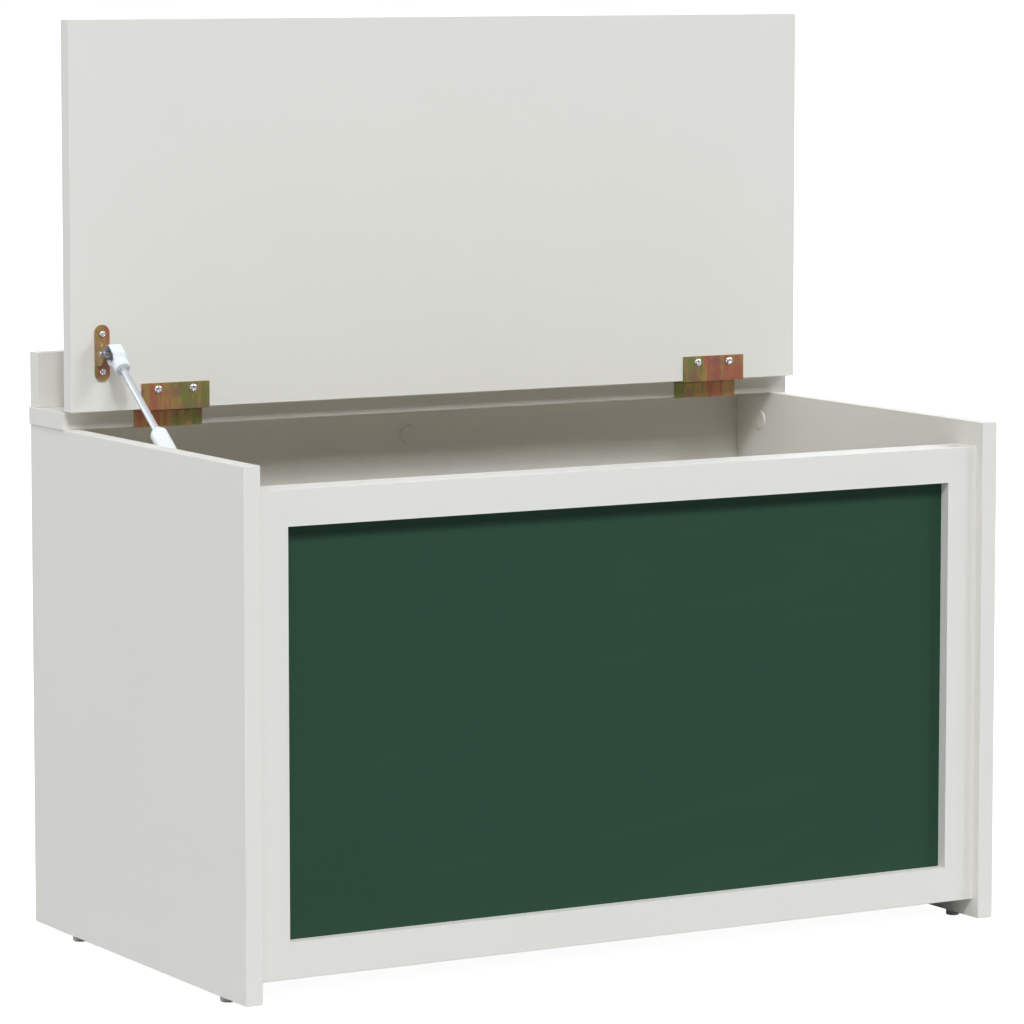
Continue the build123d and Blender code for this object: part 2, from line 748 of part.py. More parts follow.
with BuildPart() as piston:
    with BuildSketch(strut_plane(rod_end - piston_length)):
        Circle(tube_radius - tube_wall - piston_clearance)
        Circle(rod_radius, mode=Mode.SUBTRACT)
    extrude(amount=piston_length)
save(piston, "strut_piston")

# ---- strut: tube, its cap with the rod's guide, and the lower socket with the ball it holds
tube_end = strut_length - socket_length
with BuildPart() as tube:
    with BuildSketch(strut_plane(tube_start + cap_length)):
        Circle(tube_radius)
        Circle(tube_radius - tube_wall, mode=Mode.SUBTRACT)
    extrude(amount=tube_end - tube_start - cap_length)
    with BuildSketch(strut_plane(tube_end - plug_length)):
        Circle(tube_radius)
    extrude(amount=plug_length)
    with BuildSketch(strut_plane(tube_end)):
        Circle(rod_radius)
    extrude(amount=rod_in_socket)
save(tube, "strut_cylinder")

with BuildPart() as guide_cap:
    with BuildSketch(strut_plane(tube_start)):
        Circle(cap_tip_radius)
    with BuildSketch(strut_plane(tube_start + cap_length)):
        Circle(tube_radius)
    loft()
    with BuildSketch(strut_plane(tube_start + cap_length)):
        Circle(tube_radius - tube_wall)
    extrude(amount=cap_in_tube - cap_length)
    with BuildSketch(strut_plane(tube_start)):
        Circle(rod_radius + slide_clearance)
    extrude(amount=cap_in_tube, mode=Mode.SUBTRACT)
save(guide_cap, "strut_guide_cap")

save(ball_socket(strut_length, -1, rod_radius, rod_in_socket), "strut_cylinder_socket")

with BuildPart() as lower_ball:
    with Locations((strut_x, lower_y, lower_z)):
        Sphere(ball_radius)
    with BuildSketch(Plane.YZ.offset(lower_neck_end)):
        with Locations((lower_y, lower_z)):
            Circle(stud_radius)
    extrude(amount=strut_x - lower_neck_end)
save(lower_ball, "strut_lower_ball")

# ---- strut: bracket on the side panel, its stud stopping short of the socket
with BuildPart() as case_bracket:
    with BuildSketch(Plane.YZ.offset(-inner_x)):
        with Locations((lower_y, lower_z)):
            SlotOverall(bracket_length, bracket_width, rotation=90)
    extrude(amount=bracket_thickness)
    with BuildSketch(Plane.YZ.offset(-inner_x)):
        with Locations((lower_y, lower_z)):
            Circle(collar_radius_on_stud)
    extrude(amount=lower_neck_end - open_pivot_gap + inner_x)
    bore_screws(case_bracket_screws)
save(case_bracket, "strut_case_bracket")
save(screw_row(case_bracket_screws, pan_screw(bracket_head_radius)), "strut_case_screws")

# ---- cam locks: the cam, its bolt and its cap, turned to lie along each joint
with BuildPart() as cam_locks:
    for joint in all_cams:
        cam_plane = Plane(origin=joint.cam_face, x_dir=joint.to_mate, z_dir=joint.to_face * -1)
        with BuildSketch(cam_plane):
            Circle(cam_radius - cam_clearance)
        extrude(amount=joint.cam_depth - cam_clearance)
    for joint in all_cams:
        with Locations(joint.out_of_edge):
            Hole(radius=bolt_passage_radius, depth=cam_setback + bolt_head_radius)
        with Locations(facing(joint.cam_face, joint.to_face)):
            Box(cam_slot_width, cam_radius, recess_depth * 2, mode=Mode.SUBTRACT)
            Box(cam_radius, cam_slot_width, recess_depth * 2, mode=Mode.SUBTRACT)
save(cam_locks, "cam_locks")

with BuildPart() as cam_bolts:
    for joint in all_cams:
        with BuildSketch(Plane(origin=joint.edge + joint.to_mate * bolt_in_mate, z_dir=joint.to_mate * -1)):
            Circle(bolt_radius)
        extrude(amount=bolt_in_mate + cam_setback - bolt_head_radius)
        head_start = joint.edge - joint.to_mate * (cam_setback - bolt_head_length)
        with BuildSketch(Plane(origin=head_start, z_dir=joint.to_mate * -1)):
            Circle(bolt_head_radius)
        extrude(amount=bolt_head_length)
save(cam_bolts, "cam_bolts")

with BuildPart() as cam_caps:
    for joint in capped_cams:
        with BuildSketch(Plane(origin=joint.cam_face, z_dir=joint.to_face)):
            Circle(cap_radius)
        extrude(amount=cap_thickness, taper=cap_slope)
save(cam_caps, "cam_caps")

with BuildPart() as wooden_dowels:
    for joint in all_dowels:
        with BuildSketch(Plane(origin=joint.edge + joint.to_mate * dowel_in_mate, z_dir=joint.to_mate * -1)):
            Circle(dowel_radius)
        extrude(amount=dowel_length)
save(wooden_dowels, "wooden_dowels")

# ---- feet: a round glide nailed under each end of each side panel
for name, x, y, _ in foot_places:
    with BuildPart() as foot:
        with BuildSketch():
            with Locations((x, y)):
                Circle(foot_radius)
        extrude(amount=foot_height)
        chamfer(foot.faces().sort_by(Axis.Z)[0].edges(), length=foot_chamfer)
        with Locations(facing((x, y, 0), (0, 0, -1))):
            CounterBoreHole(
                radius=nail_radius + pilot_clearance,
                counter_bore_radius=nail_head_radius + pilot_clearance,
                counter_bore_depth=foot_recess + nail_head_height,
                depth=foot_height,
            )
    save(foot, f"foot_{name}")

with BuildPart() as foot_nails:
    for _, x, y, _ in foot_places:
        with BuildSketch(Plane.XY.offset(foot_recess)):
            with Locations((x, y)):
                Circle(nail_head_radius)
        extrude(amount=nail_head_height)
        with BuildSketch(Plane.XY.offset(foot_recess)):
            with Locations((x, y)):
                Circle(nail_radius)
        extrude(amount=foot_height - foot_recess + nail_length)
save(foot_nails, "foot_nails")
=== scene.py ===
"""Finishes, small turned and moulded pieces and a studio for the chalkboard toy box.

Metres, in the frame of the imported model. Every place is taken from the model's own nodes and joints.
"""

import json
import math

import bpy
import numpy as np
from bpy.props import FloatProperty, FloatVectorProperty, IntProperty, PointerProperty
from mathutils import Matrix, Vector


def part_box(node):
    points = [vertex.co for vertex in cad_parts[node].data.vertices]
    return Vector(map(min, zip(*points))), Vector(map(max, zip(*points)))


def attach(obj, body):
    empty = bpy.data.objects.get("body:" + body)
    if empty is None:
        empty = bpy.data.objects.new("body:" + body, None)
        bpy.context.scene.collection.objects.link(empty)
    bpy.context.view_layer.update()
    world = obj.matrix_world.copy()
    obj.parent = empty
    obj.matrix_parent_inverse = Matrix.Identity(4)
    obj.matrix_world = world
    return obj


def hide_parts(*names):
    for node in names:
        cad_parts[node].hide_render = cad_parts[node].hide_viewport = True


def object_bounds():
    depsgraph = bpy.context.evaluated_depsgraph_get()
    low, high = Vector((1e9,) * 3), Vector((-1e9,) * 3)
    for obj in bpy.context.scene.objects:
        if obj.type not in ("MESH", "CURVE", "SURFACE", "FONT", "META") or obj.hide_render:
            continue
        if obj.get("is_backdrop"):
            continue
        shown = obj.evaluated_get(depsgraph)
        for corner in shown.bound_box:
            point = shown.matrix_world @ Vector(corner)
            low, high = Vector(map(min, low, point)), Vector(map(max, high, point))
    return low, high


bl_info = {
    "name": "Chalkboard toy box",
    "version": (1, 0, 0),
    "blender": (4, 5, 0),
    "location": "View3D > Sidebar > Toy box",
    "description": "Finishes the toy box's boards, fittings and strut, and sets up its studio",
    "category": "Object",
}

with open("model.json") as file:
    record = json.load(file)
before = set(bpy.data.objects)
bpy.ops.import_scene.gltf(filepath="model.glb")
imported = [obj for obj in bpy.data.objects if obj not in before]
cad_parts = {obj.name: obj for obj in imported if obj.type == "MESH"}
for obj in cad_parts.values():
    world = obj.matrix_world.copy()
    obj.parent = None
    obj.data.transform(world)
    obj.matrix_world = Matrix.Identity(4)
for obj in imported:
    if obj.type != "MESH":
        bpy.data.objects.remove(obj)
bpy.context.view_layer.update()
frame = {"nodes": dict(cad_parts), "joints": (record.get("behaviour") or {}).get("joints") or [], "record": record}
NODES = frame["nodes"]
RECORD = frame["record"]
JOINTS = {joint["name"]: joint for joint in frame["joints"]}
BODY_OF = {node: body for body, members in RECORD["behaviour"]["bodies"].items() for node in members}
SLOT_OF = {part["node"]: part["material_slot"] for part in RECORD["subparts"]}
FRONT, DOWN, RIGHT, LEFT, UP = (0, -1, 0), (0, 0, -1), (1, 0, 0), (-1, 0, 0), (0, 0, 1)


# ---------------------------------------------------------------- settings
def colour(name, description, default):
    """A linear colour that a user may change."""
    return FloatVectorProperty(
        name=name, description=description, default=default, subtype="COLOR", min=0.0, max=2.0, size=3
    )


def length(name, description, default):
    """A length in metres that a user may change."""
    return FloatProperty(
        name=name, description=description, default=default, unit="LENGTH", min=0.0, precision=5
    )


def share(name, description, default):
    """A number from 0 to 1 that a user may change."""
    return FloatProperty(
        name=name, description=description, default=default, subtype="FACTOR", min=0.0, max=1.0
    )


class TOYBOX_PG_boards(bpy.types.PropertyGroup):
    """How the white boards and the chalkboard look."""

    white: colour("White facing", "Colour of the boards' facing", (0.785, 0.755, 0.69))
    white_roughness: share("Facing roughness", "How matt the facing is", 0.48)
    pore: length("Pore size", "Grain of the pressed facing", 0.0011)
    pore_depth: length("Pore depth", "Depth of that grain", 0.00002)
    green: colour("Chalkboard", "Colour of the writing surface", (0.0165, 0.0545, 0.0295))
    chalk: colour("Chalk dust", "Colour of the dust left in the surface", (0.06, 0.105, 0.075))
    dust: share("Dust", "How much dust is left after wiping", 0.10)
    tooth: length("Tooth", "Depth of the painted surface's tooth", 0.000012)


class TOYBOX_PG_metals(bpy.types.PropertyGroup):
    """How the plated and plain metals look."""

    gold: colour("Passivate gold", "Main tint of the yellow zinc", (0.40, 0.27, 0.10))
    olive: colour("Passivate olive", "Green tint of the yellow zinc", (0.215, 0.235, 0.075))
    copper: colour("Passivate copper", "Red tint of the yellow zinc", (0.50, 0.17, 0.105))
    plum: colour("Passivate plum", "Purple tint of the yellow zinc", (0.32, 0.13, 0.14))
    tint_run: length("Tint run", "From one copper band of the passivate to the next", 0.0824)
    left_tint: length("Left tint", "Middle of a copper band on the left hinge, to the box's right", 0.251)
    right_tint: length("Right tint", "The same, on the right hinge", 0.313)
    bracket_tint: length("Bracket tint", "The same, on the strut's brackets", 0.062)
    etch: length("Etch", "Depth of the passivate's flecks and streaks", 0.000006)
    scratch: length("Scratch", "Depth of the scratches in plain metal", 0.000004)
    bright: colour("Bright zinc", "Plating of the screws", (0.66, 0.66, 0.68))
    steel: colour("Ground steel", "The strut's rod", (0.56, 0.58, 0.60))
    dull: colour("Cast zinc", "Cams, bolts, nails and pins", (0.40, 0.40, 0.41))
    stud: colour("Stud steel", "The ball studs", (0.42, 0.41, 0.42))


class TOYBOX_PG_plastics(bpy.types.PropertyGroup):
    """How the moulded pieces look."""

    socket: colour("Socket", "The strut's white sockets and guide", (0.80, 0.84, 0.87))
    enamel: colour("Enamel", "The strut's cylinder", (0.82, 0.84, 0.86))
    glide: colour("Glide", "The grey glides under the sides", (0.42, 0.40, 0.38))
    cap: colour("Cap", "Caps over the cam locks", (0.77, 0.74, 0.675))
    dark: colour("Piston", "The piston in the cylinder", (0.02, 0.02, 0.022))
    mould_grain: length("Mould grain", "Texture left by the mould", 0.0005)
    mould_depth: length("Mould depth", "Depth of that texture", 0.00001)
    soft_depth: length("Soft depth", "How far light goes into the white plastic", 0.002)
    peel_depth: length("Peel depth", "Depth of the enamel's orange peel", 0.000008)


class TOYBOX_PG_screws(bpy.types.PropertyGroup):
    """Sizes of the pan-head screws that show."""

    head_height: length("Head height", "Height of the head's dome", 0.0020)
    shank_radius: length("Shank radius", "Radius at the root of the thread", 0.00125)
    thread_depth: length("Thread depth", "Height of the thread's crest", 0.00035)
    pitch: length("Pitch", "From one turn of the thread to the next", 0.0013)
    shank_length: length("Shank length", "From under the head to the tip", 0.0119)
    arm_width: length("Recess width", "Width of each arm of the cross recess", 0.0012)
    arm_reach: length("Recess reach", "How far each arm runs from the middle", 0.0022)
    recess_depth: length("Recess depth", "Depth in the middle of the cross", 0.0015)
    recess_turn: FloatProperty(
        name="Recess turn", description="How far the cross recess is turned", default=0.35, subtype="ANGLE"
    )
    spokes: IntProperty(name="Spokes", description="Points round each screw", default=96, min=24)


class TOYBOX_PG_strut(bpy.types.PropertyGroup):
    """Shapes of the strut's moulded ends."""

    head_thickness: length("Head thickness", "Across the socket, along the ball's stud", 0.0120)
    head_width: length("Head width", "Across the socket, square to the stud", 0.0145)
    past_ball: length("Past the ball", "Socket beyond the ball", 0.0075)
    shoulder: length("Shoulder", "From the ball to where the collar starts", 0.0115)
    collar_radius: length("Collar radius", "Radius of the round end", 0.0070)
    reach: length("Reach", "From the ball to the end of the collar", 0.0210)
    chamfer: length("Chamfer", "How much each corner of the head is cut", 0.0040)
    edge: length("Edge", "Rounding of the head's end", 0.0007)
    wall: length("Wall", "Round the hollow where the ball snaps in", 0.0013)
    mouth_depth: length("Mouth depth", "Depth of that hollow", 0.0080)
    collar_step: length("Collar step", "How much the collar narrows where it meets the head", 0.0010)
    collar_round: length("Collar round", "Rounding of the collar's end", 0.0015)
    squareness: FloatProperty(
        name="Squareness", description="Exponent of the head's outline, 2 is round", default=14.0, min=2.0
    )


class TOYBOX_PG_studio(bpy.types.PropertyGroup):
    """The camera, the floor and the light round the box."""

    camera_place: FloatVectorProperty(
        name="Camera", description="Where the camera stands", default=(-2.0917, -3.6045, 0.8415),
        subtype="TRANSLATION", unit="LENGTH", size=3,
    )
    camera_turn: FloatProperty(
        name="Turn", description="The camera's turn about the vertical",
        default=math.radians(-30.094), subtype="ANGLE",
    )
    camera_tilt: FloatProperty(
        name="Tilt", description="How far the camera looks down", default=math.radians(6.002), subtype="ANGLE"
    )
    focal_length: FloatProperty(
        name="Focal length", description="In millimetres, on a sensor 36 wide", default=172.07, min=10.0
    )
    lens_rise: FloatProperty(name="Lens rise", description="Vertical shift of the lens", default=-0.05)
    floor: colour("Floor", "Colour of the floor", (0.55, 0.55, 0.55))
    floor_size: length("Floor size", "Half the floor's width", 60.0)
    floor_glow: FloatProperty(
        name="Floor glow", description="How bright the floor looks to the camera by itself",
        default=0.95, min=0.0,
    )
    dark_walls: share("Dark walls", "Brightness of the walls behind the camera, in reflections", 0.30)
    lamp: colour("Lamps", "Colour of the lamps", (0.957, 1.0, 1.05))
    lamp_distance: length("Lamp distance", "How far out the lamps hang", 3.0)


SETTINGS = {
    "boards": TOYBOX_PG_boards,
    "metals": TOYBOX_PG_metals,
    "plastics": TOYBOX_PG_plastics,
    "screws": TOYBOX_PG_screws,
    "strut": TOYBOX_PG_strut,
    "studio": TOYBOX_PG_studio,
}


def settings(group):
    """One of the scene's groups of settings."""
    return getattr(bpy.context.scene, "toybox_" + group)


# ---------------------------------------------------------------- materials
PLAIN_BLACK = (0.0, 0.0, 0.0)
PLAIN_WHITE = (1.0, 1.0, 1.0)


class Finish:
    """A Principled material whose textures read the object's own coordinates, in metres."""

    def __init__(self, name, base, roughness, metallic=0.0):
        """Starts the material with an even colour, roughness and metalness."""
        self.material = bpy.data.materials.new(name)
        self.material.use_nodes = True
        self.tree = self.material.node_tree
        self.shader = self.tree.nodes["Principled BSDF"]
        self.place = self.add("ShaderNodeTexCoord").outputs["Object"]
        self.set("Base Color", (*base, 1.0))
        self.set("Roughness", roughness)
        self.set("Metallic", metallic)

    def add(self, kind, **options):
        """A node of this kind, with its options set."""
        node = self.tree.nodes.new(kind)
        for name, value in options.items():
            setattr(node, name, value)
        return node

    def join(self, output, target):
        """A link from one socket to another."""
        self.tree.links.new(output, target)

    def set(self, name, value):
        """One value on the shader's own socket."""
        self.shader.inputs[name].default_value = value

    def stretched(self, stretch=(1, 1, 1), turn=(0, 0, 0)):
        """The object's coordinates, squeezed along each axis."""
        mapping = self.add("ShaderNodeMapping")
        self.join(self.place, mapping.inputs["Vector"])
        mapping.inputs["Scale"].default_value = stretch
        mapping.inputs["Rotation"].default_value = turn
        return mapping.outputs["Vector"]

    def noise(self, scale, detail=3.0, rough=0.5, warp=0.0, stretch=(1, 1, 1)):
        """Smooth noise with this many features to a metre."""
        texture = self.add("ShaderNodeTexNoise")
        self.join(self.stretched(stretch), texture.inputs["Vector"])
        for name, value in (("Scale", scale), ("Detail", detail), ("Roughness", rough), ("Distortion", warp)):
            texture.inputs[name].default_value = value
        return texture.outputs["Fac"]

    def between(self, factor, low, high):
        """A factor from 0 to 1 spread over low to high."""
        spread = self.add("ShaderNodeMapRange")
        self.join(factor, spread.inputs["Value"])
        spread.inputs["To Min"].default_value = low
        spread.inputs["To Max"].default_value = high
        return spread.outputs["Result"]

    def ramp(self, factor, stops):
        """Colours eased along a factor, as (place, colour) pairs."""
        ramp = self.add("ShaderNodeValToRGB")
        ramp.color_ramp.interpolation = "EASE"
        elements = ramp.color_ramp.elements
        while len(elements) < len(stops):
            elements.new(0.5)
        for element, (place, tint) in zip(elements, stops):
            element.position = place
            element.color = (*tint, 1.0)
        self.join(factor, ramp.inputs["Fac"])
        return ramp.outputs["Color"]

    def mix(self, factor, first, second):
        """Two colours mixed by a factor."""
        mix = self.add("ShaderNodeMix", data_type="RGBA")
        self.join(factor, mix.inputs["Factor"])
        for socket, value in ((mix.inputs["A"], first), (mix.inputs["B"], second)):
            if isinstance(value, bpy.types.NodeSocket):
                self.join(value, socket)
            else:
                socket.default_value = (*value, 1.0)
        return mix.outputs["Result"]

    def paint(self, output):
        """The base colour from a texture."""
        self.join(output, self.shader.inputs["Base Color"])

    def gloss(self, factor, low, high):
        """Roughness that wanders between two values."""
        self.join(self.between(factor, low, high), self.shader.inputs["Roughness"])

    def relief(self, *layers):
        """Bumps laid over each other, each given as (height factor, depth in metres)."""
        below = None
        for height, depth in layers:
            bump = self.add("ShaderNodeBump")
            bump.inputs["Strength"].default_value = 1.0
            bump.inputs["Distance"].default_value = depth
            self.join(height, bump.inputs["Height"])
            if below is not None:
                self.join(below, bump.inputs["Normal"])
            below = bump.outputs["Normal"]
        self.join(below, self.shader.inputs["Normal"])


def tinted(base, factor):
    """A colour made lighter or darker."""
    return tuple(min(1.0, channel * factor) for channel in base)


def melamine(name, base, boards):
    """Matt white facing: a faint cloudiness, a pressed pore grain and a slight change of gloss."""
    finish = Finish(name, base, boards.white_roughness)
    cloud = finish.noise(6.0, detail=4.0, rough=0.6)
    finish.paint(finish.mix(cloud, tinted(base, 0.985), tinted(base, 1.015)))
    pores = finish.noise(1.0 / boards.pore, detail=2.0, rough=0.6, stretch=(0.35, 1.0, 1.0))
    grain = finish.noise(240.0, detail=5.0, rough=0.62, warp=0.4, stretch=(0.08, 1.0, 1.0))
    finish.gloss(pores, low=boards.white_roughness - 0.05, high=boards.white_roughness + 0.07)
    finish.relief((pores, boards.pore_depth), (grain, boards.pore_depth * 1.5))
    return finish.material


def chalkboard_paint(name, boards):
    """Matt green paint with a fine tooth, and a little dust dragged about by wiping."""
    green = tuple(boards.green)
    finish = Finish(name, green, roughness=0.72)
    cloud = finish.noise(5.0, detail=3.0, rough=0.5)
    base = finish.mix(cloud, tinted(green, 0.97), tinted(green, 1.03))
    wiped = finish.noise(9.0, detail=6.0, rough=0.55, warp=1.2, stretch=(0.35, 1.0, 1.6))
    dust = finish.ramp(wiped, ((0.45, PLAIN_BLACK), (0.85, (boards.dust,) * 3)))
    finish.paint(finish.mix(dust, base, tuple(boards.chalk)))
    tooth = finish.noise(2600.0, detail=2.0, rough=0.7)
    finish.gloss(wiped, low=0.66, high=0.80)
    finish.relief((tooth, boards.tooth))
    finish.set("Specular IOR Level", 0.25)
    return finish.material


WAVE_TURNS = 20.0               # radians of a wave texture to one unit, at a scale of 1


def yellow_zinc(name, metals, start):
    """Yellow passivated zinc: olive, gold and copper bands, broken up by upright streaks and plum clouds.

    The bands run in X from the middle of a copper one at the start.
    """
    finish = Finish(name, tuple(metals.gold), roughness=0.42, metallic=0.8)
    bands = finish.add("ShaderNodeTexWave", wave_type="BANDS", bands_direction="X", wave_profile="SIN")
    finish.join(finish.stretched(turn=(0.0, 0.25, 0.0)), bands.inputs["Vector"])
    run = 2.0 * math.pi / metals.tint_run
    values = {
        "Scale": run / WAVE_TURNS,
        "Phase Offset": math.pi - run * start,
        "Distortion": 2.0,
        "Detail": 2.0,
        "Detail Scale": 1.6,
        "Detail Roughness": 0.6,
    }
    for socket, value in values.items():
        bands.inputs[socket].default_value = value
    streak = finish.noise(170.0, detail=3.0, rough=0.55, warp=0.4, stretch=(1.0, 0.35, 0.16))
    broken = finish.add("ShaderNodeMath", operation="MULTIPLY_ADD")
    finish.join(bands.outputs["Fac"], broken.inputs[0])
    broken.inputs[1].default_value = 0.52
    finish.join(finish.between(streak, -0.55, 1.05), broken.inputs[2])
    tint = finish.ramp(broken.outputs["Value"], (
        (0.08, tuple(metals.olive)),
        (0.30, tinted(metals.olive, 1.1)),
        (0.44, tuple(metals.gold)),
        (0.56, tinted(metals.gold, 1.15)),
        (0.76, tuple(metals.copper)),
        (0.98, tinted(metals.copper, 0.85)),
    ))
    plum = finish.noise(52.0, detail=2.0, rough=0.5, warp=0.6)
    cloud = finish.ramp(plum, ((0.52, PLAIN_BLACK), (0.70, (0.8,) * 3)))
    clouded = finish.mix(cloud, tint, tuple(metals.plum))
    fleck = finish.noise(1400.0, detail=3.0, rough=0.6)
    finish.paint(finish.mix(finish.between(fleck, 0.0, 0.25), clouded, tinted(metals.gold, 0.8)))
    finish.gloss(fleck, low=0.34, high=0.52)
    finish.relief((fleck, metals.etch), (streak, metals.etch))
    return finish.material


def plated(name, base, low, high, scratches=1500.0, mottle=0.12):
    """Plain or plated metal with a fine mottle and this many small scratches to a metre."""
    finish = Finish(name, tuple(base), roughness=(low + high) / 2, metallic=1.0)
    cloud = finish.noise(420.0, detail=3.0, rough=0.6)
    finish.paint(finish.mix(cloud, tinted(base, 1.0 - mottle), tinted(base, 1.0 + mottle)))
    marks = finish.noise(scratches, detail=3.0, rough=0.6)
    finish.gloss(marks, low, high)
    finish.relief((marks, settings("metals").scratch))
    return finish.material


def moulded(name, base, roughness, soft=0.0):
    """Moulded plastic with the grain of its mould and a slight unevenness of colour."""
    plastics = settings("plastics")
    finish = Finish(name, tuple(base), roughness)
    cloud = finish.noise(160.0, detail=2.0, rough=0.5)
    finish.paint(finish.mix(cloud, tinted(base, 0.97), tinted(base, 1.03)))
    texture = finish.noise(1.0 / plastics.mould_grain, detail=3.0, rough=0.6)
    finish.gloss(texture, low=roughness - 0.05, high=roughness + 0.08)
    finish.relief((texture, plastics.mould_depth))
    finish.set("Subsurface Weight", soft)
    finish.set("Subsurface Scale", plastics.soft_depth)
    return finish.material


def enamel(name, base):
    """Smooth baked enamel under a clear coat, with a trace of orange peel."""
    finish = Finish(name, tuple(base), roughness=0.32)
    peel = finish.noise(700.0, detail=2.0, rough=0.5)
    finish.paint(finish.mix(peel, tinted(base, 0.985), tinted(base, 1.015)))
    finish.gloss(peel, low=0.26, high=0.38)
    finish.relief((peel, settings("plastics").peel_depth))
    finish.set("Coat Weight", 0.3)
    finish.set("Coat Roughness", 0.15)
    return finish.material


BEECH_WOOD = (0.55, 0.36, 0.20)
BEECH_DARK = (0.42, 0.26, 0.14)
BEECH_WARM = (0.58, 0.39, 0.23)
BEECH_LIGHT = (0.66, 0.47, 0.29)
BEECH_FLECK = (0.36, 0.21, 0.11)
OPEN_GRAIN = 0.00002            # its depth in metres


def beech(name):
    """Turned beech: growth rings along the dowel, short flecks and open grain."""
    finish = Finish(name, BEECH_WOOD, roughness=0.6)
    rings = finish.noise(180.0, detail=4.0, rough=0.6, warp=0.6, stretch=(0.15, 1.0, 1.0))
    wood = finish.ramp(rings, ((0.3, BEECH_DARK), (0.55, BEECH_WARM), (0.8, BEECH_LIGHT)))
    flecks = finish.noise(1600.0, detail=2.0, rough=0.7, stretch=(0.2, 1.0, 1.0))
    finish.paint(finish.mix(finish.between(flecks, 0.0, 0.3), wood, BEECH_FLECK))
    finish.gloss(rings, low=0.52, high=0.7)
    finish.relief((flecks, OPEN_GRAIN))
    return finish.material


def dress(nodes, material):
    """Gives CAD nodes a material in place of the plain one that they came with."""
    for name in nodes:
        slots = NODES[name].material_slots
        if not slots:
            NODES[name].data.materials.append(material)
        for place in slots:
            place.material = material


def in_slot(slot):
    """The CAD nodes that the record puts in one material slot."""
    return [node for node, name in SLOT_OF.items() if name == slot]


# ---------------------------------------------------------------- surfaces
def skin(name, rings, material, body, replaced=()):
    """A closed skin through rings of points, an array of ring, point round the ring, xyz.

    Quads join each ring to the next. Each end is closed by triangles to the middle of its ring. If the skin
    encloses a negative volume, its faces point inwards and are turned over.
    """
    rows, columns = rings.shape[:2]
    index = np.arange(rows * columns).reshape(rows, columns)
    after = np.roll(index, -1, axis=1)
    quads = np.stack([index[:-1], after[:-1], after[1:], index[1:]], axis=-1).reshape(-1, 4)
    start, end = rows * columns, rows * columns + 1
    first = np.stack([np.full(columns, start), after[0], index[0]], axis=-1)
    last = np.stack([np.full(columns, end), index[-1], after[-1]], axis=-1)
    points = np.concatenate([rings.reshape(-1, 3), rings[0].mean(0)[None], rings[-1].mean(0)[None]])
    corners = points[quads] - points[0]
    volume = np.einsum("ij,ij->i", corners[:, 0], np.cross(corners[:, 1], corners[:, 2])).sum()
    volume += np.einsum("ij,ij->i", corners[:, 0], np.cross(corners[:, 2], corners[:, 3])).sum()
    for fan in (first, last):
        tips = points[fan] - points[0]
        volume += np.einsum("ij,ij->i", tips[:, 0], np.cross(tips[:, 1], tips[:, 2])).sum()
    faces = quads.tolist() + first.tolist() + last.tolist()
    if volume < 0:
        faces = [face[::-1] for face in faces]
    mesh = bpy.data.meshes.new(name)
    mesh.from_pydata(points.tolist(), [], faces)
    mesh.shade_smooth()
    mesh.materials.append(material)
    piece = bpy.data.objects.new(name, mesh)
    bpy.context.scene.collection.objects.link(piece)
    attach(piece, body)
    if replaced:
        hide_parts(*replaced)
    return piece


def basis(direction):
    """A direction made one long, and two more directions square to it and to each other."""
    along = np.array(direction, float)
    along /= np.linalg.norm(along)
    helper = np.array([1.0, 0.0, 0.0]) if abs(along[0]) < 0.9 else np.array([0.0, 0.0, 1.0])
    first = np.cross(helper, along)
    first /= np.linalg.norm(first)
    return along, first, np.cross(along, first)


def turned(profile, origin, direction, spokes=64):
    """Rings of a turned shape.

    Each profile point (radius r, height s) goes round the axis, to
    origin + s * direction + r * (cos angle * first + sin angle * second).
    """
    along, first, second = basis(direction)
    radius, height = np.array(profile, float).T
    angle = np.linspace(0.0, 2.0 * math.pi, spokes, endpoint=False)
    spoke = np.cos(angle)[:, None] * first + np.sin(angle)[:, None] * second
    return np.array(origin) + height[:, None, None] * along + radius[:, None, None] * spoke[None]


def arc(middle, radius, start, end, steps=6):
    """Points of an arc, as (radius, height) pairs, from one angle in degrees to another."""
    angle = np.radians(np.linspace(start, end, steps))
    return list(zip(middle[0] + radius * np.cos(angle), middle[1] + radius * np.sin(angle)))


def joined(pieces, name):
    """Several pieces made one, for a group of like fittings."""
    with bpy.context.temp_override(active_object=pieces[0], selected_editable_objects=pieces):
        bpy.ops.object.join()
    pieces[0].name = name
    return pieces[0]


def middle(node):
    """The middle of a CAD node's box."""
    low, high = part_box(node)
    return np.array((low + high) / 2)


# ---------------------------------------------------------------- screws
DOME_FLATNESS = 2.6             # power of r/R in the head's dome
DOME_ROUNDNESS = 1 / 2.2        # power of what is left
WALL_EASE = 0.06                # of an arm's width, over which the recess's wall turns
FLOOR_RISE = 2.2                # how soon the recess is at its depth, in from an arm's end
FLOOR_LEAST = 0.55              # of the depth, where an arm's slope starts
THREADED = 0.82                 # of the shank, before its point
POINT_END = 0.05                # of the root's radius
HEAD_MIDDLE = 0.02              # of the head's radius, its first ring
HEAD_RINGS, SHANK_RINGS, POINT_RINGS = 34, 64, 10


